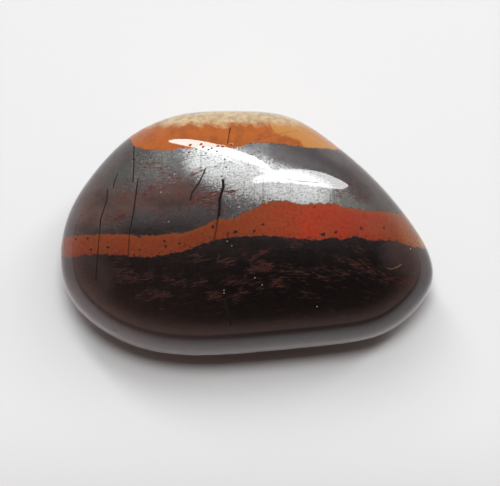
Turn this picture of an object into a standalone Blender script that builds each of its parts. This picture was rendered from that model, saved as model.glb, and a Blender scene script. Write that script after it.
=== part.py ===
"""A tumbled and polished tiger iron pebble that rests on a small flat spot.

Units are metres and +Z is up. X runs along the stone and Y from its front to its back. The origin is
on the resting plane, under the middle of the stone's box.

The form is a cage of quads under a Subdivision Surface. Each point of the cage belongs to a meridian
that starts at the crown, goes out and down to the girth, and comes back in under the stone. The girth
is the outline that the stone shows from above.
"""

import math

import bmesh
import bpy
import numpy as np
from mathutils import Vector

MM = 0.001

# Box of the finished stone
LENGTH = 28.9 * MM
DEPTH = 18.4 * MM
HEIGHT = 12.0 * MM

# The outline that the stone shows from above, in millimetres: points passed in turn from the right tip,
# over the back, to the left end and along the front.
OUTLINE = [
    (14.45, -2.8),
    (12.65, 0.8),
    (9.7, 4.2),
    (6.5, 6.85),
    (3.2, 8.78),
    (-0.9, 9.15),
    (-5.1, 8.9),
    (-8.9, 7.35),
    (-11.8, 4.5),
    (-13.9, 1.1),
    (-14.35, -2.75),
    (-13.0, -5.7),
    (-9.9, -8.0),
    (-6.0, -9.12),
    (-1.9, -9.22),
    (2.2, -8.9),
    (6.4, -8.45),
    (10.3, -7.65),
    (13.0, -5.7),
]

# The top is a shallow dome that rolls over into the girth. It lies tilted, highest towards the back and a
# little to the left. Its crest runs from the back left to the right tip, and its middle lies behind the
# middle of the stone, so the front is a long slope and the back a short one. All in millimetres.
DOME_MIDDLE = Vector((0.6, 2.8, 12.1))
HIGH_SIDE = Vector((-0.34, 0.94))
TILT = 0.1
CREST_DIRECTION = Vector((1.0, -0.28)).normalized()
DOME_RADIUS_ALONG = 75.0
DOME_RADIUS_ACROSS = 50.0

# How far the roll-over takes the dome down, how far out it leaves it a dome, and how tight the shoulder
# is: 2 is an ellipse for both.
ROLL_OVER = 5.0
SPREAD = 2.6
FULLNESS = 2.8

# The underside is nearly half an ellipsoid down to its lowest point.
FOOT = Vector((0.0, -0.4, 0.0))
UNDERSIDE_FULLNESS = 2.1

# How much the resting spot takes off the round underside
FLAT_SPOT_CUT = 0.2 * MM

FACES_PER_SIDE = 14
SUBDIVISION_LEVELS = 1
FITTING_ROUNDS = 4
STEPS_PER_SPAN = 12


def smooth_outline():
    """The outline as a closed cubic B-spline through its points, given as angles and radii."""
    wanted = np.array(OUTLINE)
    control = wanted.copy()
    for _ in range(FITTING_ROUNDS):
        reached = (np.roll(control, 1, 0) + 4 * control + np.roll(control, -1, 0)) / 6
        control += wanted - reached
    t = np.linspace(0, 1, STEPS_PER_SPAN, endpoint=False)[:, None]
    spans = []
    for i in range(len(control)):
        before, start, end, after = (control[(i + step) % len(control)] for step in (-1, 0, 1, 2))
        spans.append((
            (1 - t) ** 3 * before
            + (3 * t**3 - 6 * t**2 + 4) * start
            + (-3 * t**3 + 3 * t**2 + 3 * t + 1) * end
            + t**3 * after
        ) / 6)
    x, y = np.concatenate(spans).T
    return np.arctan2(y, x), np.hypot(x, y)


def dome_height(point):
    """Height of the tilted dome over a point."""
    away = (point - DOME_MIDDLE).xy
    along = away.dot(CREST_DIRECTION)
    across = away.cross(CREST_DIRECTION)
    drop = along**2 / (2 * DOME_RADIUS_ALONG) + across**2 / (2 * DOME_RADIUS_ACROSS)
    return DOME_MIDDLE.z + TILT * away.dot(HIGH_SIDE) - drop


def girth_point(angle, outline):
    radius = np.interp(angle, *outline, period=math.tau)
    girth = Vector((radius * math.cos(angle), radius * math.sin(angle), 0.0))
    girth.z = dome_height(girth) - ROLL_OVER
    return girth


def stone_point(direction, outline):
    """The point of the stone's surface, in millimetres, that belongs to a direction on a unit sphere."""
    outward = math.hypot(direction.x, direction.y)
    girth = girth_point(math.atan2(direction.y, direction.x), outline)
    if direction.z < 0:
        point = FOOT.lerp(girth, outward ** (2 / UNDERSIDE_FULLNESS))
        point.z = girth.z - (girth.z - FOOT.z) * abs(direction.z) ** (2 / UNDERSIDE_FULLNESS)
        return point
    point = DOME_MIDDLE.lerp(girth, outward ** (2 / SPREAD))
    point.z = dome_height(point) - ROLL_OVER * (1 - direction.z ** (2 / FULLNESS))
    return point


def sphere_of_quads(name):
    """A cube cut into even squares and blown up to a unit sphere."""
    mesh = bpy.data.meshes.new(name)
    form = bmesh.new()
    bmesh.ops.create_cube(form, size=2.0)
    bmesh.ops.subdivide_edges(form, edges=form.edges[:], cuts=FACES_PER_SIDE - 1, use_grid_fill=True)
    for vert in form.verts:
        even = Vector([math.tan(part * math.pi / 4) for part in vert.co])
        vert.co = even.normalized()
    form.to_mesh(mesh)
    form.free()
    return mesh


def smooth_surface(stone):
    """The mesh that the stone's modifiers give, as it stands now."""
    bpy.context.view_layer.update()
    return stone.evaluated_get(bpy.context.evaluated_depsgraph_get()).data


def let_out(stone):
    """Move the cage outwards until the smooth surface passes where the cage's points first were."""
    verts = stone.data.vertices
    targets = [vert.co.copy() for vert in verts]
    for _ in range(FITTING_ROUNDS):
        surface = smooth_surface(stone)
        moves = [target - surface.vertices[i].co for i, target in enumerate(targets)]
        for vert, move in zip(verts, moves):
            vert.co += move
        stone.data.update()


def fit_to_box(stone):
    """Give the smooth stone its exact length, depth and height, and sink it by the flat spot's cut."""
    points = [vert.co.copy() for vert in smooth_surface(stone).vertices]
    low = Vector([min(point[axis] for point in points) for axis in range(3)])
    high = Vector([max(point[axis] for point in points) for axis in range(3)])
    middle = (low + high) / 2
    size = high - low
    for vert in stone.data.vertices:
        vert.co.x = (vert.co.x - middle.x) * LENGTH / size.x
        vert.co.y = (vert.co.y - middle.y) * DEPTH / size.y
        vert.co.z = (vert.co.z - low.z) * (HEIGHT + FLAT_SPOT_CUT) / size.z - FLAT_SPOT_CUT
    stone.data.update()


def polished_stone_material():
    material = bpy.data.materials.new("polished_stone")
    material.use_nodes = True
    shader = material.node_tree.nodes["Principled BSDF"]
    shader.inputs["Base Color"].default_value = (0.11, 0.055, 0.042, 1.0)
    shader.inputs["Roughness"].default_value = 0.12
    shader.inputs["Metallic"].default_value = 0.0
    return material


def make_resting_cutter(collection):
    """A block below z = 0 that takes the round underside off to a flat spot."""
    mesh = bpy.data.meshes.new("resting_cutter")
    form = bmesh.new()
    bmesh.ops.create_cube(form, size=1.0)
    bmesh.ops.scale(form, verts=form.verts[:], vec=(1.5 * LENGTH, 1.5 * DEPTH, HEIGHT))
    bmesh.ops.translate(form, verts=form.verts[:], vec=(0.0, 0.0, -HEIGHT / 2))
    form.to_mesh(mesh)
    form.free()
    cutter = bpy.data.objects.new("resting_cutter", mesh)
    cutter.hide_render = True
    cutter.display_type = "WIRE"
    collection.objects.link(cutter)
    return cutter


def make_stone(collection, cutter):
    mesh = sphere_of_quads("stone")
    outline = smooth_outline()
    for vert in mesh.vertices:
        vert.co = stone_point(vert.co, outline) * MM
    stone = bpy.data.objects.new("stone", mesh)
    collection.objects.link(stone)
    subdivision = stone.modifiers.new("round form", "SUBSURF")
    subdivision.levels = SUBDIVISION_LEVELS
    subdivision.render_levels = SUBDIVISION_LEVELS
    let_out(stone)
    fit_to_box(stone)
    mesh.shade_smooth()
    mesh.materials.append(polished_stone_material())
    flat_spot = stone.modifiers.new("resting spot", "BOOLEAN")
    flat_spot.operation = "DIFFERENCE"
    flat_spot.solver = "EXACT"
    flat_spot.object = cutter


def new_collection(name):
    collection = bpy.data.collections.new(name)
    bpy.context.scene.collection.children.link(collection)
    return collection


def main():
    for thing in list(bpy.data.objects):
        bpy.data.objects.remove(thing, do_unlink=True)
    cutter = make_resting_cutter(new_collection("cutters"))
    make_stone(new_collection("mugglestone"), cutter)


main()
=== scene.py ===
# %% [markdown]
# # A polished tiger iron pebble
#
# This lesson dresses one small stone. Tiger iron is a banded rock with layers of jasper and grey
# hematite. This one has an orange layer along its back and a red one across its middle, and the rest
# is dark. The frame gives the stone's form as a closed solid with flat facets. Here it gets a fine
# smooth skin, cracks and pits that are pressed in, and a material whose layers run right through.

# %% Load the frame and set the units
import math

import bpy
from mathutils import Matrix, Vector


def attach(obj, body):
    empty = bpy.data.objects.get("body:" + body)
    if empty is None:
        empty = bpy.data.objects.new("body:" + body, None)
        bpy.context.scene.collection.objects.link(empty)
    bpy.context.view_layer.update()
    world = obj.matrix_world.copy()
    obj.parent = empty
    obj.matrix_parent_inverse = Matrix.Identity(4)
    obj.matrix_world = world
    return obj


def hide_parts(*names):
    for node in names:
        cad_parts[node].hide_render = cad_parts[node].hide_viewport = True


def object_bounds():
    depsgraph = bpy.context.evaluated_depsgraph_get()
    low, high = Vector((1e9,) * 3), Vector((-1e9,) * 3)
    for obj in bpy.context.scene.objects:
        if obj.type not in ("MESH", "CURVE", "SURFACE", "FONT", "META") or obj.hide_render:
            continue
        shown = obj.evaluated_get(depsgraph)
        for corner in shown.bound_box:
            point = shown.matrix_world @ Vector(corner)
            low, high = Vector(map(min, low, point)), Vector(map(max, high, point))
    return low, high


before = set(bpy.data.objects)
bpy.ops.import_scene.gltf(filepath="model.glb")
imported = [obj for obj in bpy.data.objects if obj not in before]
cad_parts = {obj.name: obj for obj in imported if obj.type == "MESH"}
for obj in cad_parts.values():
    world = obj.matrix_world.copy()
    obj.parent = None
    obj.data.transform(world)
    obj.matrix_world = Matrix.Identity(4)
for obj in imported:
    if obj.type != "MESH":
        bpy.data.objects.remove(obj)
cad_low, cad_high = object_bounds()

MM = 0.001
middle = (cad_low + cad_high) / 2
size = cad_high - cad_low
print("The stone measures", [round(side / MM, 2) for side in size], "mm")

# %% [markdown]
# ## The camera
#
# The camera looks from near and from a little in front of straight above. Its distance and its tilt
# are estimates. The picture is wider than the stone, and the stone lies a touch left of its middle and
# above it, which the camera's shift takes care of.

# %% Place the camera
CAMERA_DISTANCE = 300 * MM
CAMERA_TILT = math.radians(12)
FRAME_PIXELS = Vector((500, 486))
STONE_MIDDLE_PIXEL = Vector((247, 236))
PIXELS_PER_MM = 12.9
AIM = Vector((0, 0, 5.2 * MM))

towards_camera = Vector((0, -math.sin(CAMERA_TILT), math.cos(CAMERA_TILT)))
camera = bpy.data.objects.new("camera", bpy.data.cameras.new("camera"))
bpy.context.scene.collection.objects.link(camera)
bpy.context.scene.camera = camera
camera.location = AIM + towards_camera * CAMERA_DISTANCE
camera.rotation_euler = towards_camera.to_track_quat("Z", "Y").to_euler()
width_shown = FRAME_PIXELS.x / PIXELS_PER_MM * MM
camera.data.lens = camera.data.sensor_width * CAMERA_DISTANCE / width_shown
camera.data.shift_x = (FRAME_PIXELS.x / 2 - STONE_MIDDLE_PIXEL.x) / FRAME_PIXELS.x
camera.data.shift_y = (STONE_MIDDLE_PIXEL.y - FRAME_PIXELS.y / 2) / FRAME_PIXELS.x
camera.data.clip_start = 10 * MM
print("The camera shows", round(width_shown / MM, 1), "mm across")

# %% [markdown]
# ## The floor and the light
#
# A polished stone shows its surroundings, so they matter as much as its colours. Its rim mirrors the
# pale floor all the way round. In front the floor is painted with shade that gets darker and browner
# with the distance, so that its mirror image in the front rim fades out upwards. A plane with a
# painted gradient on Object Y is enough.

# %% Lay a pale floor with painted shade in front
FLOOR_SIZE = 240 * MM
FLOOR_PALE = (0.62, 0.62, 0.62, 1.0)
FLOOR_IN_PAINTED_SHADE = (0.13, 0.085, 0.08, 1.0)
PAINTED_SHADE_STARTS = -12 * MM
PAINTED_SHADE_ENDS = -46 * MM
FLOOR_ROUGHNESS = 0.9

bpy.ops.object.select_all(action="DESELECT")
bpy.ops.mesh.primitive_plane_add(size=FLOOR_SIZE)
floor = bpy.context.object
floor.name = "floor"
floor_paint = bpy.data.materials.new("matt white")
floor_paint.use_nodes = True
paint = floor_paint.node_tree
floor_place = paint.nodes.new("ShaderNodeTexCoord")
floor_sides = paint.nodes.new("ShaderNodeSeparateXYZ")
paint.links.new(floor_place.outputs["Object"], floor_sides.inputs[0])
# Painted shade: the floor's colour gets darker and browner towards the front.
painted_shade = paint.nodes.new("ShaderNodeMapRange")
painted_shade.interpolation_type = "SMOOTHSTEP"
painted_shade.inputs["From Min"].default_value = PAINTED_SHADE_ENDS
painted_shade.inputs["From Max"].default_value = PAINTED_SHADE_STARTS
paint.links.new(floor_sides.outputs["Y"], painted_shade.inputs["Value"])
floor_colour = paint.nodes.new("ShaderNodeMix")
floor_colour.data_type = "RGBA"
floor_colour.inputs[6].default_value = FLOOR_IN_PAINTED_SHADE
floor_colour.inputs[7].default_value = FLOOR_PALE
paint.links.new(painted_shade.outputs["Result"], floor_colour.inputs["Factor"])
floor_shader = paint.nodes["Principled BSDF"]
paint.links.new(floor_colour.outputs[2], floor_shader.inputs["Base Color"])
floor_shader.inputs["Roughness"].default_value = FLOOR_ROUGHNESS
floor_shader.inputs["Specular IOR Level"].default_value = 0.0
floor.data.materials.append(floor_paint)
print("The floor is", FLOOR_SIZE / MM, "mm wide")

# %% [markdown]
# The highlight on the stone is the mirror image of two long lamps that stand like a wide V behind it.
# Two flat elliptical area lights give its two leaf shapes. Where each lamp's middle is, and how long
# and wide it is, are given as shares of its height over the floor.

# %% Hang two long lamps behind the stone
LAMP_HEIGHT = 500 * MM
LAMP_COLOUR = (0.97, 0.99, 1.0)
LAMPS = {
    "left lamp": {
        "middle": (-0.29, 0.70), "length": 1.45, "width": 0.18, "turned": 131, "brightness": 14.0,
    },
    "right lamp": {
        "middle": (0.70, 0.52), "length": 1.62, "width": 0.15, "turned": 37.5, "brightness": 10.0,
    },
}

for name, given in LAMPS.items():
    light = bpy.data.lights.new(name, "AREA")
    light.shape = "ELLIPSE"
    light.size = given["length"] * LAMP_HEIGHT
    light.size_y = given["width"] * LAMP_HEIGHT
    light.color = LAMP_COLOUR
    light.energy = given["brightness"] * math.pi * light.size * light.size_y * math.pi / 4
    lamp = bpy.data.objects.new(name, light)
    bpy.context.scene.collection.objects.link(lamp)
    lamp.location = Vector((*given["middle"], 1.0)) * LAMP_HEIGHT
    lamp.rotation_euler.z = math.radians(given["turned"])
    print("The", name, "gives", round(light.energy, 1), "W")

# %% [markdown]
# The strongest light on the floor comes from nearly straight above, so the darkest part of the shadow
# is short. That light must not show as a second highlight, so it is hidden from mirror rays.

# %% Hang a lamp overhead that only lights, and doesn't show as a reflection
OVERHEAD_BRIGHTNESS = 35.0
OVERHEAD_WIDTH = 0.25 * LAMP_HEIGHT
OVERHEAD_LEAN = 0.07

light = bpy.data.lights.new("overhead lamp", "AREA")
light.shape = "DISK"
light.size = OVERHEAD_WIDTH
light.color = LAMP_COLOUR
light.energy = OVERHEAD_BRIGHTNESS * math.pi * OVERHEAD_WIDTH**2 * math.pi / 4
overhead = bpy.data.objects.new("overhead lamp", light)
bpy.context.scene.collection.objects.link(overhead)
overhead.location = Vector((0.0, OVERHEAD_LEAN, 1.0)) * LAMP_HEIGHT
overhead.visible_glossy = False
print("The overhead lamp gives", round(light.energy, 1), "W")

# %% [markdown]
# The dark layers mirror the room, and they would look grey if it were bright, so it is kept dim, most
# of all in front. Only low down, near the horizon, there is a warm glow, which softens the upper edge
# of the rim's mirror image. The background's strength and colour follow the direction of the ray.

# %% Dim the room, most of all in front
ROOM_BACK = 0.45
ROOM_FRONT = 0.05
FRONT_ENDS = -0.5
BACK_STARTS = 0.6
WARM = (1.0, 0.62, 0.52, 1.0)
COOL = (0.97, 0.98, 1.0, 1.0)

room = bpy.data.worlds.new("dim room")
bpy.context.scene.world = room
room.use_nodes = True
air = room.node_tree
where = air.nodes.new("ShaderNodeTexCoord")
sides = air.nodes.new("ShaderNodeSeparateXYZ")
air.links.new(where.outputs["Generated"], sides.inputs[0])
towards_back = air.nodes.new("ShaderNodeMapRange")
towards_back.interpolation_type = "SMOOTHSTEP"
towards_back.inputs["From Min"].default_value = FRONT_ENDS
towards_back.inputs["From Max"].default_value = BACK_STARTS
air.links.new(sides.outputs["Y"], towards_back.inputs["Value"])
strength = air.nodes.new("ShaderNodeMapRange")
strength.inputs["To Min"].default_value = ROOM_FRONT
strength.inputs["To Max"].default_value = ROOM_BACK
air.links.new(towards_back.outputs["Result"], strength.inputs["Value"])
air.links.new(strength.outputs["Result"], air.nodes["Background"].inputs["Strength"])
tint = air.nodes.new("ShaderNodeMix")
tint.data_type = "RGBA"
tint.inputs[6].default_value = WARM
tint.inputs[7].default_value = COOL
air.links.new(towards_back.outputs["Result"], tint.inputs["Factor"])
air.links.new(tint.outputs[2], air.nodes["Background"].inputs["Color"])
print("The room is lit", ROOM_BACK, "behind and", ROOM_FRONT, "in front")

# %% [markdown]
# The glow is a second background, added to the first. Its strength falls with the height of the ray
# over the horizon, so the nearly level top doesn't mirror it.

# %% Add the glow at the horizon
GLOW_STRENGTH = 0.45
GLOW_TOP = 0.40
GLOW = (1.0, 0.66, 0.56, 1.0)

low_down = air.nodes.new("ShaderNodeMapRange")
low_down.interpolation_type = "SMOOTHSTEP"
low_down.inputs["From Min"].default_value = GLOW_TOP
low_down.inputs["From Max"].default_value = 0.0
low_down.inputs["To Max"].default_value = GLOW_STRENGTH
air.links.new(sides.outputs["Z"], low_down.inputs["Value"])
glow = air.nodes.new("ShaderNodeBackground")
glow.inputs["Color"].default_value = GLOW
air.links.new(low_down.outputs["Result"], glow.inputs["Strength"])
both = air.nodes.new("ShaderNodeAddShader")
air.links.new(air.nodes["Background"].outputs[0], both.inputs[0])
air.links.new(glow.outputs[0], both.inputs[1])
air.links.new(both.outputs[0], air.nodes["World Output"].inputs["Surface"])
bpy.context.scene.view_settings.view_transform = "Standard"
print("The glow ends where the ray's Z reaches", GLOW_TOP)

# %% [markdown]
# ## A smooth guide
#
# The frame's solid is made of loose flat triangles, and a mirror finish would show every one of them.
# So a copy is merged, its triangles are paired back into quads, and a Subdivision Surface rounds it.
# This guide is never seen. The real skin is wrapped onto it.

# %% Round a copy of the frame's solid
def edit(thing):
    """Make this the only selected object and go into edit mode with all of it selected."""
    bpy.ops.object.select_all(action="DESELECT")
    thing.select_set(True)
    bpy.context.view_layer.objects.active = thing
    bpy.ops.object.mode_set(mode="EDIT")
    bpy.ops.mesh.select_all(action="SELECT")


def finish_edit():
    bpy.ops.object.mode_set(mode="OBJECT")


def apply(thing, kind, **settings):
    """Add a modifier with these settings and apply it at once."""
    bpy.ops.object.select_all(action="DESELECT")
    thing.select_set(True)
    bpy.context.view_layer.objects.active = thing
    modifier = thing.modifiers.new(kind.lower(), kind)
    for name, value in settings.items():
        setattr(modifier, name, value)
    bpy.ops.object.modifier_apply(modifier=modifier.name)


MERGE_DISTANCE = 0.01 * MM
PAIRING_BEND = math.radians(40)
PAIRING_SKEW = math.radians(60)
GUIDE_LEVELS = 2

guide = bpy.data.objects.new("guide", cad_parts["stone"].data.copy())
bpy.context.scene.collection.objects.link(guide)
edit(guide)
bpy.ops.mesh.remove_doubles(threshold=MERGE_DISTANCE)
bpy.ops.mesh.tris_convert_to_quads(face_threshold=PAIRING_BEND, shape_threshold=PAIRING_SKEW)
finish_edit()
apply(guide, "SUBSURF", levels=GUIDE_LEVELS, render_levels=GUIDE_LEVELS)
print("The guide has", len(guide.data.polygons), "faces")

# %% [markdown]
# ## The skin
#
# A cube with a Subdivision Surface makes a ball of nearly even quads, with no poles where a highlight
# would pinch. It is scaled to the stone's box and wrapped onto the guide. A Smooth modifier then
# spreads its points evenly along the tight girth, and a second wrap puts them back on the guide.

# %% Wrap a ball of quads onto the guide
CUBE_CUTS = 2
SKIN_LEVELS = 5
SMOOTHING = 0.5
SMOOTHING_ROUNDS = 10


def wrap(thing, target):
    """Move a thing's points onto the target's surface, the way that the surface faces."""
    apply(thing, "SHRINKWRAP", target=target, wrap_method="TARGET_PROJECT")


bpy.ops.object.select_all(action="DESELECT")
bpy.ops.mesh.primitive_cube_add(size=size.z, location=middle)
pebble = bpy.context.object
pebble.name = "polished_pebble"
edit(pebble)
bpy.ops.mesh.subdivide(number_cuts=CUBE_CUTS)
finish_edit()
apply(pebble, "SUBSURF", levels=SKIN_LEVELS, render_levels=SKIN_LEVELS)
edit(pebble)
bpy.ops.transform.tosphere(value=1.0)
finish_edit()
ball = pebble.dimensions.copy()
edit(pebble)
bpy.ops.transform.resize(value=[side / width for side, width in zip(size, ball)])
finish_edit()
bpy.ops.object.transform_apply(location=True, rotation=True, scale=True)
wrap(pebble, guide)
apply(pebble, "SMOOTH", factor=SMOOTHING, iterations=SMOOTHING_ROUNDS)
wrap(pebble, guide)
print("The skin has", len(pebble.data.polygons), "quads")

# %% [markdown]
# ## Cracks, pits and chips
#
# Thin cracks run over the stone, most of them across the layers, and small pits and chips lie among
# them. They are too small for sculpting by eye, so each one is laid out as a thin line with a few
# points in millimetres, seen from above. The line is broken up with a fractal subdivide and dropped
# onto the smooth guide. A Vertex Weight Proximity modifier then finds the skin near it.

# %% Where the cracks, pits and chips run, in millimetres
OPEN_CRACK = [
    [(-1.9, 2.9), (-1.85, 2.35), (-2.0, 1.9), (-2.15, 1.35), (-2.15, 0.7), (-2.2, 0.15)],
]
FINE_CRACKS = [
    [(-8.7, 5.9), (-8.73, 4.8), (-8.8, 2.9)],
    [(-8.4, 3.0), (-8.55, 1.65), (-8.65, 0.75), (-8.8, -0.15), (-8.95, -0.85), (-9.2, -3.9)],
    [(-10.7, 2.55), (-10.75, 1.65), (-11.0, 0.9), (-11.2, 0.3), (-11.3, -0.75), (-11.65, -4.4)],
    [(-9.95, 3.7), (-10.15, 3.25), (-10.25, 2.7)],
    [(-1.3, 7.1), (-1.4, 6.6), (-1.45, 6.1), (-1.5, 5.75)],
    [(-2.2, 0.15), (-2.3, -0.5), (-2.4, -1.2), (-2.6, -2.3)],
    [(-3.2, 3.8), (-3.5, 3.1), (-3.75, 2.55), (-4.2, 1.95), (-4.35, 1.4)],
    [(-1.6, -5.9), (-1.15, -7.6)],
]
HAIRLINES = [
    [(0.3, 6.0), (0.95, 6.15), (2.25, 6.6), (3.8, 7.1)],
    [(-4.1, -0.2), (-4.1, -2.3)],
    [(-1.8, 4.7), (0.0, 3.85), (1.45, 3.45), (2.9, 3.05), (3.65, 2.95), (5.45, 2.85)],
    [(-5.4, 4.35), (-4.65, 4.65), (-3.25, 4.75), (-2.05, 4.9)],
    [(-5.1, 1.05), (-5.25, -0.05)],
    [(-1.65, 5.1), (-1.75, 4.6), (-1.85, 3.7), (-1.9, 2.9)],
]
PALE_SCRATCH = [[(10.7, -3.25), (11.0, -3.3), (11.4, -3.15), (11.7, -3.0), (11.8, -2.9)]]
DARK_PITS = [
    [(-4.35, 5.7)], [(-3.35, 5.5)], [(-2.95, 5.3)], [(-2.7, 5.4)], [(-1.85, 5.55)], [(-1.7, 4.5)],
    [(-8.73, 4.85)], [(-4.9, 5.5)], [(-4.45, 5.1)], [(-3.9, 5.35)], [(-3.15, 5.0)], [(-2.3, 5.15)],
    [(0.3, 5.85)], [(-1.2, 5.7)], [(-3.5, 5.75)], [(-2.2, 5.6)], [(-1.6, 3.9)], [(-1.95, 3.2)],
]
# Small pits, pressed in a little. Their pale colour further down is a painted glint.
PITS_PAINTED_GLINT = [
    [(-5.5, 3.45)], [(-6.55, 2.1)], [(-5.95, -0.15)], [(-2.2, 2.2)], [(-0.6, 0.9)], [(1.5, 1.25)],
    [(-1.5, -1.65)], [(-1.15, -2.0)], [(0.6, -4.3)], [(-1.75, -5.2)], [(-1.75, -5.4)], [(1.15, -4.8)],
    [(5.35, -6.25)], [(12.55, -1.65)],
]
CUT_IN = {
    "open_crack": OPEN_CRACK, "fine_cracks": FINE_CRACKS, "hairlines": HAIRLINES,
    "dark_pits": DARK_PITS, "pale_chips": PITS_PAINTED_GLINT, "pale_scratch": PALE_SCRATCH,
}
print("To cut in:", {name: len(lines) for name, lines in CUT_IN.items()})

# %% [markdown]
# Other marks are only colour: thin red wisps that follow the folds, black grains in the jasper, and a
# few larger areas where the hematite is redder or darker. Two more areas hold painted light: a
# greener tone that is a painted reflection, and a brighter metal colour along the highlight that is
# a painted highlight. They are laid out in the same way, but they are painted and not pressed in.

# %% Where the wisps, grains and tinted areas lie, in millimetres
UPPER_WISPS = [
    [(-8.5, 4.2), (-7.3, 4.3)], [(-7.2, 2.4), (-6.3, 2.5)], [(-5.9, 1.6), (-5.2, 1.9)],
    [(-5.6, 3.2), (-5.3, 3.2)], [(-3.3, 1.75), (-2.2, 1.85)], [(-4.6, 1.1), (-2.4, 1.3)],
    [(6.6, 2.7), (7.9, 2.9)], [(7.1, 2.4), (8.8, 2.3)], [(8.0, 2.0), (9.2, 2.0)],
    [(-1.6, 2.1), (-0.6, 1.6)], [(-4.9, 0.7), (-3.9, 1.0)], [(-6.6, 3.8), (-5.9, 3.3)],
    [(-4.0, 3.3), (-3.6, 3.5)], [(-11.8, 0.2), (-10.9, 0.3)], [(-10.2, 0.1), (-9.4, 0.4)],
    [(-8.3, 1.9), (-7.4, 1.6)], [(-3.4, 0.9), (-2.5, 0.9)], [(-6.9, 0.3), (-6.0, 0.6)],
    [(-6.2, 3.0), (-5.7, 2.8)], [(-4.4, 1.6), (-3.7, 1.7)], [(-9.9, 1.8), (-9.2, 2.0)],
]
LOWER_WISPS = [
    [(-8.3, -5.5), (-6.9, -5.3)], [(-7.8, -6.0), (-6.1, -5.4)], [(-5.5, -4.7), (-4.7, -4.8)],
    [(-4.1, -4.9), (-3.3, -4.7)], [(-3.9, -2.8), (-3.4, -2.8)], [(-1.9, -3.0), (-0.9, -3.0)],
    [(-0.1, -2.2), (-0.1, -2.7)], [(1.0, -2.6), (1.9, -2.3)], [(0.5, -3.0), (1.4, -3.1)],
    [(0.5, -3.6), (1.7, -3.5)], [(3.4, -1.8), (4.3, -1.9)], [(2.9, -3.7), (4.7, -3.9)],
    [(-1.3, -4.5), (1.0, -4.7)], [(2.1, -4.7), (3.2, -4.8)], [(-0.8, -5.7), (-0.3, -5.4)],
    [(-2.7, -5.8), (-2.1, -5.7)], [(5.2, -3.7), (5.9, -3.5)], [(5.9, -3.5), (7.4, -4.0)],
    [(5.2, -3.8), (6.4, -4.3)], [(8.0, -3.1), (8.8, -3.5)], [(9.3, -3.6), (9.9, -3.8)],
    [(10.2, -3.9), (12.0, -4.2)], [(-6.1, -4.4), (-5.1, -4.1)], [(-10.2, -3.5), (-9.9, -3.5)],
    [(-9.5, -3.7), (-8.8, -3.7)], [(-9.7, -4.1), (-9.4, -4.1)], [(-8.7, -4.1), (-8.4, -4.1)],
    [(-7.6, -4.0), (-7.3, -4.0)], [(8.8, -2.8), (9.0, -2.8)], [(12.4, -4.1), (12.6, -4.2)],
    [(4.4, -5.0), (4.6, -5.1)], [(7.1, -2.7), (7.3, -2.8)], [(8.4, -1.9), (8.6, -2.1)],
]
BLACK_GRAINS = [
    [(-10.6, -1.8)], [(-8.2, -2.1)], [(-8.2, -1.2)], [(-6.2, -2.0)], [(-4.7, -1.9)], [(-6.3, -1.6)],
    [(-8.6, -2.5)], [(-13.1, -0.9)], [(-12.2, -1.0)], [(-5.1, -1.8)], [(-11.9, -1.9)],
    [(0.4, -1.25)], [(1.2, -0.4)], [(-0.9, -1.0)], [(-1.5, -1.2)], [(0.6, -0.9)], [(1.9, -0.9)],
    [(4.6, -1.25)], [(5.7, -1.1)], [(5.0, -1.4)], [(3.3, -0.2)], [(5.1, 1.0)], [(0.1, 0.3)],
    [(7.7, -1.1)], [(8.7, -0.5)], [(6.7, -0.9)], [(10.5, -0.3)], [(5.85, -1.05)], [(4.75, -1.35)],
    [(-2.6, -0.6)], [(-3.3, -1.1)],
]
# Where a greener tone is laid on as a painted reflection.
PAINTED_REFLECTION_AREA = [[(-9.8, 3.6), (-8.4, 4.4), (-7.0, 4.6)], [(7.6, 1.6), (10.2, 1.2)]]
MAUVE_AREA = [
    [(-12.4, 0.8), (-8.6, 1.0)], [(-12.0, 2.2), (-10.5, 1.0)], [(-8.2, 0.9), (-5.0, 1.5)],
    [(-13.2, -3.2), (-11.9, -4.0)], [(11.8, -1.9), (13.2, -2.6)],
]
BLACK_AREA = [
    [(-8.6, -0.45), (-4.9, -0.35), (-2.6, 0.5)], [(2.5, 5.4), (5.0, 4.7), (7.5, 3.6), (8.8, 2.6)],
]
# Where a brighter metal colour is laid along the highlight, as a painted highlight.
PAINTED_HIGHLIGHT_AREA = [[(-3.4, 4.5), (-1.0, 3.7), (3.0, 2.8), (7.0, 2.3)]]
ONLY_COLOUR = {
    "upper_wisps": UPPER_WISPS, "lower_wisps": LOWER_WISPS, "black_grains": BLACK_GRAINS,
    "grey_green_area": PAINTED_REFLECTION_AREA, "mauve_area": MAUVE_AREA, "black_area": BLACK_AREA,
    "shiny_area": PAINTED_HIGHLIGHT_AREA,
}
print("To paint:", {name: len(lines) for name, lines in ONLY_COLOUR.items()})

# %% [markdown]
# Each kind of mark becomes one small mesh of loose points and edges. A Shrinkwrap that projects
# straight down drops it onto the guide, so it lies on the stone where it was drawn from above.

# %% Drop the lines onto the stone
LINE_CUTS = 6
LINE_WANDER = 1.3


def lay_out(name, lines):
    """Thin edges through given points, broken up and dropped onto the stone from above."""
    verts = []
    edges = []
    for line in lines:
        first = len(verts)
        verts += [(x * MM, y * MM, 2 * size.z) for x, y in line]
        edges += [(i, i + 1) for i in range(first, len(verts) - 1)]
    mesh = bpy.data.meshes.new(name)
    mesh.from_pydata(verts, edges, [])
    line_guide = bpy.data.objects.new(name, mesh)
    bpy.context.scene.collection.objects.link(line_guide)
    if edges:
        edit(line_guide)
        bpy.ops.mesh.subdivide(number_cuts=LINE_CUTS, fractal=LINE_WANDER, seed=len(name))
        finish_edit()
    apply(
        line_guide, "SHRINKWRAP", target=guide, wrap_method="PROJECT", use_project_z=True,
        use_negative_direction=True, use_positive_direction=True,
    )
    return line_guide


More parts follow.
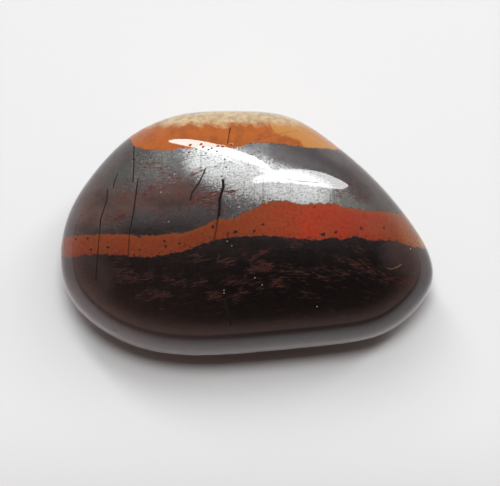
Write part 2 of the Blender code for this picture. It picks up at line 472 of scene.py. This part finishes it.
cut_in = [lay_out(name, lines) for name, lines in CUT_IN.items()]
only_colour = [lay_out(name, lines) for name, lines in ONLY_COLOUR.items()]
line_guides = cut_in + only_colour
print("The lines hold", sum(len(one.data.vertices) for one in line_guides), "points")

# %% [markdown]
# Most of the skin's quads are 0.10 to 0.21 mm wide, too coarse for a fine crack 0.12 mm wide. Only the
# faces beside a line are cut finer, so the rest of the stone stays light. The new points are wrapped
# again, because a cut face is flat and the stone is not.

# %% Cut the skin finer beside the lines
def weigh(thing, near, reach, falloff="LINEAR"):
    """Fill a vertex group with 1 on the line, falling to 0 at this reach, and give its weights."""
    group = thing.vertex_groups.get(near.name) or thing.vertex_groups.new(name=near.name)
    group.add(range(len(thing.data.vertices)), 0.0, "REPLACE")
    parts = {"EDGE"} if near.data.edges else {"VERTEX"}
    apply(
        thing, "VERTEX_WEIGHT_PROXIMITY", vertex_group=near.name, target=near,
        proximity_mode="GEOMETRY", proximity_geometry=parts, min_dist=reach, max_dist=0.0,
        falloff_type=falloff,
    )
    index = thing.vertex_groups[near.name].index
    return [
        sum(entry.weight for entry in vert.groups if entry.group == index)
        for vert in thing.data.vertices
    ]


REFINED_REACH = 0.2 * MM
LEAST_WEIGHT = 0.01
FINER_CUTS = 3

near_a_line = set()
for line_guide in cut_in:
    weights = weigh(pebble, line_guide, REFINED_REACH)
    near_a_line |= {i for i, weight in enumerate(weights) if weight > LEAST_WEIGHT}
edit(pebble)
bpy.ops.mesh.select_all(action="DESELECT")
finish_edit()
for polygon in pebble.data.polygons:
    polygon.select = any(i in near_a_line for i in polygon.vertices)
bpy.ops.object.mode_set(mode="EDIT")
bpy.ops.mesh.select_mode(type="FACE")
bpy.ops.mesh.subdivide(number_cuts=FINER_CUTS, ngon=True)
finish_edit()
wrap(pebble, guide)
print("The skin now has", len(pebble.data.polygons), "faces")

# %% [markdown]
# A groove is pressed in along the normals, and its weights are kept as an attribute, so that the
# material can darken exactly the same place. The open crack is the deepest, the fine ones are shallow
# grooves, and the hairlines hardly catch the light.

# %% Press the cracks, pits and chips in
PRESSED = {
    "open_crack": {"reach": 0.12 * MM, "depth": 0.09 * MM, "falloff": "SMOOTH"},
    "fine_cracks": {"reach": 0.06 * MM, "depth": 0.025 * MM, "falloff": "LINEAR"},
    "hairlines": {"reach": 0.06 * MM, "depth": 0.004 * MM, "falloff": "LINEAR"},
    "dark_pits": {"reach": 0.09 * MM, "depth": 0.04 * MM, "falloff": "SMOOTH"},
    "pale_chips": {"reach": 0.10 * MM, "depth": 0.02 * MM, "falloff": "SMOOTH"},
    "pale_scratch": {"reach": 0.07 * MM, "depth": 0.008 * MM, "falloff": "LINEAR"},
}
PAINTED_REACH = {
    "upper_wisps": 0.8 * MM, "lower_wisps": 0.65 * MM, "black_grains": 0.24 * MM,
    "grey_green_area": 2.6 * MM, "mauve_area": 2.4 * MM, "black_area": 1.4 * MM,
    "shiny_area": 2.3 * MM,
}

marks = {}
for line_guide in cut_in:
    cut = PRESSED[line_guide.name]
    marks[line_guide.name] = weigh(pebble, line_guide, cut["reach"], cut["falloff"])
for line_guide in only_colour:
    marks[line_guide.name] = weigh(pebble, line_guide, PAINTED_REACH[line_guide.name])
for name, cut in PRESSED.items():
    apply(
        pebble, "DISPLACE", vertex_group=name, direction="NORMAL", mid_level=0.0,
        strength=-cut["depth"],
    )
pebble.vertex_groups.clear()
for name, weights in marks.items():
    kept = pebble.data.attributes.new(name, "FLOAT", "POINT")
    kept.data.foreach_set("value", weights)
    print("Marked", sum(weight > 0 for weight in weights), "points for", name)
pebble.data.shade_smooth()
for helper in line_guides + [guide]:
    bpy.data.objects.remove(helper, do_unlink=True)

# %% [markdown]
# ## Tools for the material
#
# The material is one set of nodes that reads the stone's own coordinates in millimetres. A few short
# helpers keep it readable: each adds one kind of node and gives back its output, and each takes plain
# numbers or other nodes' outputs.

# %% Helpers that add one node each
skin_material = bpy.data.materials.new("polished tiger iron")
skin_material.use_nodes = True
tree = skin_material.node_tree
shader = tree.nodes["Principled BSDF"]


def feed(socket, value):
    """Link a node's output into a socket, or write a plain value there."""
    if isinstance(value, bpy.types.NodeSocket):
        tree.links.new(value, socket)
    elif socket.type == "RGBA" and len(value) == 3:
        socket.default_value = (*value, 1.0)
    else:
        socket.default_value = value


def calc(operation, *values, clamp=False):
    """Arithmetic on values or outputs."""
    made = tree.nodes.new("ShaderNodeMath")
    made.operation = operation
    made.use_clamp = clamp
    for socket, value in zip(made.inputs, values):
        feed(socket, value)
    return made.outputs[0]


def combine(x, y, z):
    """A vector from three values or outputs."""
    made = tree.nodes.new("ShaderNodeCombineXYZ")
    for socket, value in zip(made.inputs, (x, y, z)):
        feed(socket, value)
    return made.outputs[0]


def noise(where, scale, detail=2.0, roughness=0.5, distortion=0.0):
    """Noise from 0 to 1 with its middle at 0.5."""
    made = tree.nodes.new("ShaderNodeTexNoise")
    feed(made.inputs["Vector"], where)
    feed(made.inputs["Scale"], scale)
    feed(made.inputs["Detail"], detail)
    feed(made.inputs["Roughness"], roughness)
    feed(made.inputs["Distortion"], distortion)
    return made.outputs[0]


def swing(value, amount):
    """Noise moved to swing around zero, this far from end to end."""
    return calc("MULTIPLY", calc("SUBTRACT", value, 0.5), amount)


print("The new material starts with", len(tree.nodes), "nodes")

# %% [markdown]
# Map Range with a smooth step does most of the work: it turns a distance or a noise into a soft mask.
# Float Curve holds given lines, Mix and Color Ramp mix colours, and Attribute reads the marks that
# were weighed into the skin.

# %% Helpers that shape values and mix colours
HALF_LENGTH = 15.0
HALF_WIDTH = 10.0


def fade(value, low, high, from_value=0.0, to_value=1.0):
    """A smooth step from one value to another as the input goes from low to high."""
    made = tree.nodes.new("ShaderNodeMapRange")
    made.interpolation_type = "SMOOTHSTEP"
    for socket, given in zip(made.inputs, (value, low, high, from_value, to_value)):
        feed(socket, given)
    return made.outputs[0]


def curve(value, points):
    """A curve through given points in millimetres: from the stone's X to a height across it."""
    made = tree.nodes.new("ShaderNodeFloatCurve")
    line = made.mapping.curves[0]
    places = [
        ((x + HALF_LENGTH) / (2 * HALF_LENGTH), (y + HALF_WIDTH) / (2 * HALF_WIDTH)) for x, y in points
    ]
    while len(line.points) < len(places):
        line.points.new(0.5, 0.5)
    for point, place in zip(line.points, places):
        point.location = place
    made.mapping.update()
    feed(made.inputs["Value"], calc("DIVIDE", calc("SUBTRACT", value, -HALF_LENGTH), 2 * HALF_LENGTH))
    return calc("MULTIPLY_ADD", made.outputs[0], 2 * HALF_WIDTH, -HALF_WIDTH)


def blend(factor, first, second):
    """The first colour where the factor is 0, the second where it is 1."""
    made = tree.nodes.new("ShaderNodeMix")
    made.data_type = "RGBA"
    feed(made.inputs["Factor"], factor)
    feed(made.inputs[6], first)
    feed(made.inputs[7], second)
    return made.outputs[2]


def ramp(value, stops):
    """Colours at places from 0 to 1, and their mixtures between."""
    made = tree.nodes.new("ShaderNodeValToRGB")
    feed(made.inputs["Fac"], value)
    line = made.color_ramp
    while len(line.elements) < len(stops):
        line.elements.new(0.5)
    for element, (place, colour) in zip(line.elements, stops):
        element.position = place
        element.color = (*colour, 1.0)
    return made.outputs["Color"]


def attribute(name):
    """The weights that were kept for one kind of mark."""
    made = tree.nodes.new("ShaderNodeAttribute")
    made.attribute_name = name
    return made.outputs["Fac"]


print("The curves reach", HALF_LENGTH, "mm along the stone and", HALF_WIDTH, "mm across, each way")

# %% [markdown]
# ## The layers
#
# In banded stone the layers are sheets that pass right through, so the material first works out how
# far across the layers a point lies. Only their lines on the top face are known. How they lean and
# wander below it is a guess.

# %% Measure across the layers
LEAN = 0.15
TOP_LEVEL = 11.0
KNOWN_ABOVE = 9.0
UNKNOWN_BELOW = 4.0
LEAST_WANDER = 0.15
MOST_WANDER = 2.2
JAGS = 0.6
CRUMBS = 0.35

coordinates = tree.nodes.new("ShaderNodeTexCoord")
to_mm = tree.nodes.new("ShaderNodeMapping")
to_mm.vector_type = "POINT"
to_mm.inputs["Scale"].default_value = (1 / MM, 1 / MM, 1 / MM)
tree.links.new(coordinates.outputs["Object"], to_mm.inputs["Vector"])
place = to_mm.outputs["Vector"]
parts = tree.nodes.new("ShaderNodeSeparateXYZ")
tree.links.new(place, parts.inputs[0])
x, y, z = parts.outputs

wandering = fade(z, KNOWN_ABOVE, UNKNOWN_BELOW, LEAST_WANDER, MOST_WANDER)
drift = swing(noise(place, scale=0.16), wandering)
leaning = calc("MULTIPLY_ADD", calc("SUBTRACT", z, TOP_LEVEL), LEAN, y)
across = calc("ADD", leaning, drift)
jagged = swing(noise(place, scale=2.2, detail=4.0, roughness=0.75), JAGS)
crumbs = swing(noise(place, scale=7.0, detail=3.0, roughness=0.8), CRUMBS)
edge = calc("ADD", across, calc("ADD", jagged, crumbs))
print("The layers lean by", LEAN, "mm to each mm of depth")

# %% [markdown]
# Each sheet's boundary is a Float Curve: along the stone goes in, and how far across the boundary
# lies comes out. The points are given in millimetres, to follow the lines on the top face.

# %% Draw the boundaries of the sheets
TOP_SHEET = [
    (-15, 9.0), (-9.8, 8.2), (-9.1, 6.8), (-8.5, 5.8), (-7.4, 5.5), (-5.1, 5.5), (-3.2, 5.65),
    (-1.6, 5.6), (-1.0, 5.55), (0.0, 5.85), (1.1, 6.0), (2.2, 5.95), (3.3, 5.85), (4.35, 5.7),
    (6.35, 5.65), (15, 5.6),
]
RED_UPPER = [
    (-15, -1.3), (-13.6, -1.1), (-10.7, -1.0), (-7.4, -1.15), (-5.2, -1.0), (-3.6, -0.6),
    (-2.2, 0.05), (-0.9, 0.15), (-0.4, 0.5), (0.6, 0.85), (1.45, 1.4), (2.9, 1.45), (4.0, 1.25),
    (6.75, 1.25), (7.3, 1.05), (9.5, 0.8), (10.9, 0.75), (12.1, 0.65), (15, 0.5),
]
RED_LOWER = [
    (-15, -2.6), (-13.6, -2.6), (-10.8, -2.55), (-7.4, -2.8), (-4.7, -2.3), (-2.4, -1.55),
    (1.1, -1.25), (4.0, -1.45), (5.4, -1.55), (6.75, -1.35), (7.4, -1.5), (7.85, -1.3), (9.5, -1.5),
    (11.5, -1.55), (12.6, -1.9), (13.5, -1.95), (15, -2.0),
]
SOFTNESS = 0.06


def above(boundary):
    """1 where a point lies past a boundary, 0 before it."""
    gap = calc("SUBTRACT", edge, curve(x, boundary))
    return fade(gap, -SOFTNESS, SOFTNESS)


in_top = above(TOP_SHEET)
past_red = above(RED_UPPER)
past_lower = above(RED_LOWER)
in_red = calc("SUBTRACT", past_lower, past_red, clamp=True)
print("The boundaries hold", len(TOP_SHEET + RED_UPPER + RED_LOWER), "points")

# %% [markdown]
# ## Jasper
#
# Jasper gets its red from fine iron oxide. The middle sheet is red and more orange along its upper
# edge. Its pale right end lies on the rim and is a painted reflection of the floor there. Small
# black grains sit in it, most of them near its lower edge.

# %% Colour the red sheet
RED_ALONG = [
    (0.0, (0.22, 0.038, 0.017)),
    (0.12, (0.17, 0.034, 0.014)),
    (0.42, (0.16, 0.032, 0.012)),
    (0.55, (0.22, 0.038, 0.014)),
    (0.66, (0.30, 0.032, 0.013)),
    (0.80, (0.24, 0.028, 0.013)),
    (0.88, (0.18, 0.036, 0.010)),
    (0.93, (0.24, 0.080, 0.020)),
    # The last, pale colour is a painted reflection of the floor in the right rim.
    (1.0, (0.60, 0.36, 0.16)),
]
RED_AT_ITS_EDGE = (0.20, 0.055, 0.015)
RED_CLOUD = (0.18, 0.055, 0.020)
RED_DUST = (0.085, 0.018, 0.009)

along = calc("DIVIDE", calc("ADD", x, HALF_LENGTH), 2 * HALF_LENGTH)
cloud = noise(place, scale=0.9, detail=5.0, roughness=0.65)
dust = noise(place, scale=5.0, detail=3.0, roughness=0.7)
red = ramp(along, RED_ALONG)
into_red = calc("MINIMUM", calc("SUBTRACT", curve(x, RED_UPPER), edge), 1.0)
red = blend(fade(into_red, 0.5, 0.0, to_value=0.5), red, RED_AT_ITS_EDGE)
red = blend(fade(cloud, 0.42, 0.7, to_value=0.45), red, RED_CLOUD)
red = blend(fade(dust, 0.42, 0.72, to_value=0.55), red, RED_DUST)
print("Mixed the red jasper from", len(RED_ALONG), "colours along the stone")

# %% [markdown]
# The top sheet is orange with an ochre patch on its right. At the back rim its colour is pale and
# spotted, a painted reflection of the floor in the rim. How far down the hidden back that goes is a
# guess. The patch starts at a given line, and the painted reflection at a height across the layers,
# both broken up by noise.

# %% Colour the orange sheet
ORANGE = [(0.3, (0.23, 0.055, 0.008)), (0.6, (0.34, 0.085, 0.010))]
ORANGE_DUST = (0.16, 0.04, 0.008)
OCHRE = (0.38, 0.16, 0.035)
# A painted reflection: the floor mirrored in the back rim, pale and spotted.
PAINTED_RIM_REFLECTION = (0.47, 0.35, 0.18)
PAINTED_RIM_REFLECTION_SPOTS = (0.32, 0.22, 0.13)
OCHRE_LINE = [(-15, 9.5), (1.0, 9.0), (2.2, 6.8), (3.2, 6.5), (4.0, 6.2), (4.5, 5.4), (15, 2.0)]
OCHRE_SOFTNESS = 0.15
PAINTED_REFLECTION_STARTS = 7.2
PAINTED_REFLECTION_FULL = 7.9

orange = ramp(cloud, ORANGE)
orange = blend(fade(dust, 0.5, 0.75, to_value=0.35), orange, ORANGE_DUST)
past_ochre_line = calc("SUBTRACT", edge, curve(x, OCHRE_LINE))
orange = blend(fade(past_ochre_line, -OCHRE_SOFTNESS, OCHRE_SOFTNESS), orange, OCHRE)
# Painted reflection of the floor in the back rim, from a height across the layers on.
in_painted_reflection = fade(calc("ADD", across, swing(cloud, 1.6)), PAINTED_REFLECTION_STARTS, PAINTED_REFLECTION_FULL)
painted_reflection_spots = fade(noise(place, scale=1.7, detail=4.0, roughness=0.7), 0.38, 0.62)
orange = blend(in_painted_reflection, orange, blend(painted_reflection_spots, PAINTED_RIM_REFLECTION, PAINTED_RIM_REFLECTION_SPOTS))
print("The cap starts", PAINTED_REFLECTION_STARTS, "mm across the layers")

# %% [markdown]
# ## Hematite
#
# The dark sheets are taken for hematite, with thin streaks of jasper in it. Polished hematite reflects
# like a grey metal. Here its shine is soft and sparkly, so it is made as tiny grains.

# %% Colour the upper dark sheet
STEEL = [(0.36, (0.070, 0.062, 0.063)), (0.62, (0.13, 0.128, 0.132))]
# A painted highlight: a brighter metal colour along the lamps' highlight.
PAINTED_HIGHLIGHT_STEEL = (0.45, 0.46, 0.45)
# A painted reflection: a greener tone for the metal in two areas.
PAINTED_REFLECTION_GREY_GREEN = (0.11, 0.11, 0.098)
MAUVE = [(0.35, (0.050, 0.029, 0.026)), (0.65, (0.12, 0.068, 0.056))]
DARK_STEEL = (0.07, 0.062, 0.062)

flattened = combine(calc("MULTIPLY", x, 0.6), y, calc("MULTIPLY", z, 0.6))
patches = noise(flattened, scale=0.55, detail=4.0, roughness=0.65)
breaking = swing(noise(place, scale=2.6, detail=4.0, roughness=0.75), 1.5)


def painted(name, low, high, by=0.5):
    """Where a painted mark lies, with its rim broken up by noise."""
    return fade(calc("MULTIPLY_ADD", breaking, by, attribute(name)), low, high)


mauve = painted("mauve_area", 0.0, 0.8)
# Where the painted highlight lies. It also spreads the shine there a little.
painted_highlight_place = painted("shiny_area", 0.0, 0.75, 0.3)
upper_dark = ramp(patches, STEEL)
upper_dark = blend(painted_highlight_place, upper_dark, PAINTED_HIGHLIGHT_STEEL)
# Painted reflection: the greener tone goes on here.
upper_dark = blend(painted("grey_green_area", 0.0, 0.9), upper_dark, PAINTED_REFLECTION_GREY_GREEN)
upper_dark = blend(mauve, upper_dark, ramp(patches, MAUVE))
upper_dark = blend(painted("black_area", 0.1, 0.6), upper_dark, DARK_STEEL)
print("Mixed the upper dark sheet from", len(tree.nodes), "nodes so far")

# %% [markdown]
# The lower dark sheet goes from brownish at its left end to nearly black at its right. A dark grit
# runs through both sheets. It is the same noise that later tilts the tiny mirrors of the shine.

# %% Colour the lower dark sheet and add the grit
LOWER_ALONG = [
    (0.05, (0.11, 0.082, 0.080)), (0.35, (0.060, 0.048, 0.047)), (0.5, (0.030, 0.027, 0.028)),
]
LOWER_MAUVE = (0.050, 0.029, 0.027)
GRIT = (0.05, 0.05, 0.05)
GRIT_PER_MM = 6.5

lower_dark = ramp(calc("ADD", along, swing(cloud, 0.3)), LOWER_ALONG)
lower_dark = blend(mauve, lower_dark, LOWER_MAUVE)
dark = blend(past_red, lower_dark, upper_dark)
grit = noise(place, scale=GRIT_PER_MM, detail=3.0, roughness=0.8)
dark = blend(fade(grit, 0.56, 0.38, to_value=0.5), dark, GRIT)
print("The grit's noise has a scale of", GRIT_PER_MM, "to the millimetre")

# %% [markdown]
# The streaks are noise on a place that is squeezed hard across the layers and hardly along them, so
# its blobs are drawn out into threads. A given fold bends them. Wide banks of the same noise, and the
# wisps that were laid out, lift the threads where they show.

# %% Draw the streaks and the fine lines across them
FOLD = [(-15, 0.0), (-8, 0.0), (-3, 1.0), (3, 2.2), (8, 1.4), (12, 0.2), (15, 0.0)]
SQUEEZE_ALONG = 0.75
SQUEEZE_ACROSS = 4.6
WISP_LIFT = 0.16
BANK_LIFT = 0.32
STREAK_BELOW = (0.065, 0.020, 0.014)
STREAK_ABOVE = (0.12, 0.036, 0.024)
STREAK_DUST = (0.022, 0.010, 0.009)
CROSS_LINE = (0.04, 0.03, 0.03)

fold_height = calc("SUBTRACT", across, curve(x, FOLD))
streak_place = combine(
    calc("MULTIPLY", x, SQUEEZE_ALONG), calc("MULTIPLY", fold_height, SQUEEZE_ACROSS), z
)
thread = noise(streak_place, scale=2.0, detail=4.0, roughness=0.7, distortion=0.6)
banks = noise(streak_place, scale=0.45)
wisps = calc("MAXIMUM", attribute("upper_wisps"), attribute("lower_wisps"))
lift = calc("MULTIPLY_ADD", wisps, WISP_LIFT, swing(banks, BANK_LIFT))
streaky = fade(calc("ADD", thread, lift), 0.59, 0.72)
streak_colour = blend(past_red, STREAK_BELOW, STREAK_ABOVE)
streak_colour = blend(fade(dust, 0.35, 0.65, to_value=0.8), streak_colour, STREAK_DUST)
dark = blend(streaky, dark, streak_colour)
cross_place = combine(calc("MULTIPLY", x, 5.0), calc("MULTIPLY", y, 0.25), z)
cross_lines = fade(noise(cross_place, scale=1.0), 0.55, 0.7, to_value=0.35)
dark = blend(cross_lines, dark, CROSS_LINE)
print("The fold lifts the streaks by up to", max(rise for run, rise in FOLD), "mm")

# %% [markdown]
# ## Grains, cracks and painted glints in colour
#
# Each sheet now gets its place, and then the marks go on top: first the grains that sit flush in the
# jasper, then hairlines, fine cracks and the deep ones, and last the painted glints in the small pits
# and the scratch. Before it gets its own colour, a groove is darkened as a whole, most of all in the
# dark sheets.

# %% Put the sheets together and scatter black grains in the jasper
BLACK_GRAIN = (0.015, 0.012, 0.014)
GRAIN_RAGGEDNESS = 1.6
PEPPER_FROM_EDGE = 0.9
PEPPER_TO_EDGE = 0.1
MORE_AT_EDGE = 0.12

stone_colour = blend(in_red, dark, red)
stone_colour = blend(in_top, stone_colour, orange)
in_jasper = calc("MAXIMUM", in_red, in_top)
flecks = noise(place, scale=8.0, detail=2.0, roughness=0.6)
ragged = calc("ADD", swing(flecks, GRAIN_RAGGEDNESS), attribute("black_grains"))
grains = calc("MULTIPLY", fade(ragged, 0.42, 0.62), in_jasper)
near_edge = fade(calc("SUBTRACT", edge, curve(x, RED_LOWER)), PEPPER_FROM_EDGE, PEPPER_TO_EDGE)
thicker = calc("MULTIPLY_ADD", near_edge, MORE_AT_EDGE, flecks)
pepper = calc("MULTIPLY", fade(thicker, 0.70, 0.76), near_edge)
grains = calc("MAXIMUM", grains, calc("MULTIPLY", pepper, in_jasper))
stone_colour = blend(grains, stone_colour, BLACK_GRAIN)
print("The fine pepper lies within", PEPPER_FROM_EDGE, "mm of the red sheet's lower edge")

# %% [markdown]
# The cracks aren't black all along, so a noise breaks them up. The small pale specks are pits whose
# pale colour is a painted glint, and the short curved pale mark near the tip is taken for a scratch.

# %% Colour the cracks, pits, painted glints and the scratch
IN_A_GROOVE = (0.010, 0.007, 0.006)
GROOVE_IN_DARK = 0.92
LESS_IN_JASPER = -0.4
HAIRLINE = (0.05, 0.022, 0.012)
FINE_CRACK = (0.012, 0.008, 0.007)
DEEP_CRACK = (0.010, 0.008, 0.008)
# The pale colour of the small pits is a painted glint.
PAINTED_GLINT = (0.36, 0.33, 0.30)
SCRATCH = (0.33, 0.20, 0.11)

deep = calc("MAXIMUM", attribute("open_crack"), attribute("dark_pits"))
broken = noise(place, scale=3.0, detail=3.0, roughness=0.7)
unfilled = fade(broken, 0.35, 0.6, from_value=0.2, to_value=0.9)
fine = calc("MULTIPLY", fade(attribute("fine_cracks"), 0.1, 0.9), unfilled)
faint = fade(broken, 0.35, 0.6, from_value=0.1, to_value=0.6)
hair = calc("MULTIPLY", fade(attribute("hairlines"), 0.1, 0.9), faint)
groove = fade(calc("MAXIMUM", deep, attribute("fine_cracks")), 0.02, 0.4)
how_dark = calc("MULTIPLY_ADD", in_jasper, LESS_IN_JASPER, GROOVE_IN_DARK)
darkening = calc("MULTIPLY", groove, how_dark)
stone_colour = blend(darkening, stone_colour, IN_A_GROOVE)
stone_colour = blend(hair, stone_colour, HAIRLINE)
stone_colour = blend(fine, stone_colour, FINE_CRACK)
deep_here = fade(calc("MULTIPLY_ADD", breaking, 0.35, deep), 0.15, 0.6)
stone_colour = blend(deep_here, stone_colour, DEEP_CRACK)
# Painted glint: the small pits are coloured pale.
chips = fade(attribute("pale_chips"), 0.3, 0.8)
stone_colour = blend(chips, stone_colour, PAINTED_GLINT)
stone_colour = blend(fade(attribute("pale_scratch"), 0.1, 0.9, to_value=0.8), stone_colour, SCRATCH)
feed(shader.inputs["Base Color"], stone_colour)
print("The colour takes", len(tree.nodes), "nodes")

# %% [markdown]
# ## Gloss
#
# Polish is made as a thin clear coat, sharp as glass, on everything but the grooves and chips. Under it
# the jasper only scatters light, while each grain of hematite is a tiny tilted mirror, so the lamp's
# reflection spreads there into a white sparkling haze. Fine bumps do that, and they leave the coat on
# top alone. With a plain metal the outer edge of the front rim came out too pale and too grey. The edge
# tint was turned down to bring it nearer, so it stands for no measured property of hematite.

# %% Set the gloss and the grain
FULL_METAL = 0.94
LESS_IN_STREAKS = 0.8
LESS_IN_MAUVE = 0.6
FINE_SHINE = 0.21
COARSE_SHINE = 0.27
SHINY_SPREAD = 0.06
DULL_ROUGHNESS = 0.7
EDGE_TINT = (0.45, 0.32, 0.32, 1.0)
COAT_IOR = 1.6
COAT_ROUGHNESS = 0.03
BUMP_DEPTH = 0.035 * MM

dull = calc("MAXIMUM", groove, chips)
bare_hematite = calc("SUBTRACT", 1.0, calc("MAXIMUM", in_jasper, dull))
in_streaks = calc("MULTIPLY", streaky, LESS_IN_STREAKS)
not_metal = calc("MAXIMUM", in_streaks, calc("MULTIPLY", mauve, LESS_IN_MAUVE))
metal = calc("MULTIPLY", bare_hematite, calc("SUBTRACT", FULL_METAL, not_metal, clamp=True))
feed(shader.inputs["Metallic"], metal)
grain_shine = fade(grit, 0.3, 0.7, FINE_SHINE, COARSE_SHINE)
in_shine = calc("MULTIPLY", painted_highlight_place, past_red)
hematite_shine = calc("MULTIPLY_ADD", in_shine, SHINY_SPREAD, grain_shine)
roughness = calc("MAXIMUM", hematite_shine, calc("MULTIPLY", dull, DULL_ROUGHNESS))
feed(shader.inputs["Roughness"], roughness)
feed(shader.inputs["Coat Weight"], fade(dull, 0.1, 0.6, from_value=1.0, to_value=0.0))
shader.inputs["Specular IOR Level"].default_value = 0.0
shader.inputs["Specular Tint"].default_value = EDGE_TINT
shader.inputs["Coat IOR"].default_value = COAT_IOR
shader.inputs["Coat Roughness"].default_value = COAT_ROUGHNESS
print("The coat's roughness is", COAT_ROUGHNESS, "and the hematite's is from", FINE_SHINE)

# %% [markdown]
# The grit's noise tilts the grains, and the bump's strength is the mask of bare hematite, so jasper
# and grooves stay as they are. With that the material is whole and goes onto the skin.

# %% Tilt the grains with a fine bump, and put the material on
bump = tree.nodes.new("ShaderNodeBump")
bump.inputs["Distance"].default_value = BUMP_DEPTH
feed(bump.inputs["Strength"], bare_hematite)
feed(bump.inputs["Height"], grit)
tree.links.new(bump.outputs["Normal"], shader.inputs["Normal"])
pebble.data.materials.clear()
pebble.data.materials.append(skin_material)
print("The material has", len(tree.nodes), "nodes")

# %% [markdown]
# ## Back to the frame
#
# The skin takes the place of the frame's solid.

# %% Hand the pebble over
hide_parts("stone")
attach(pebble, "root")
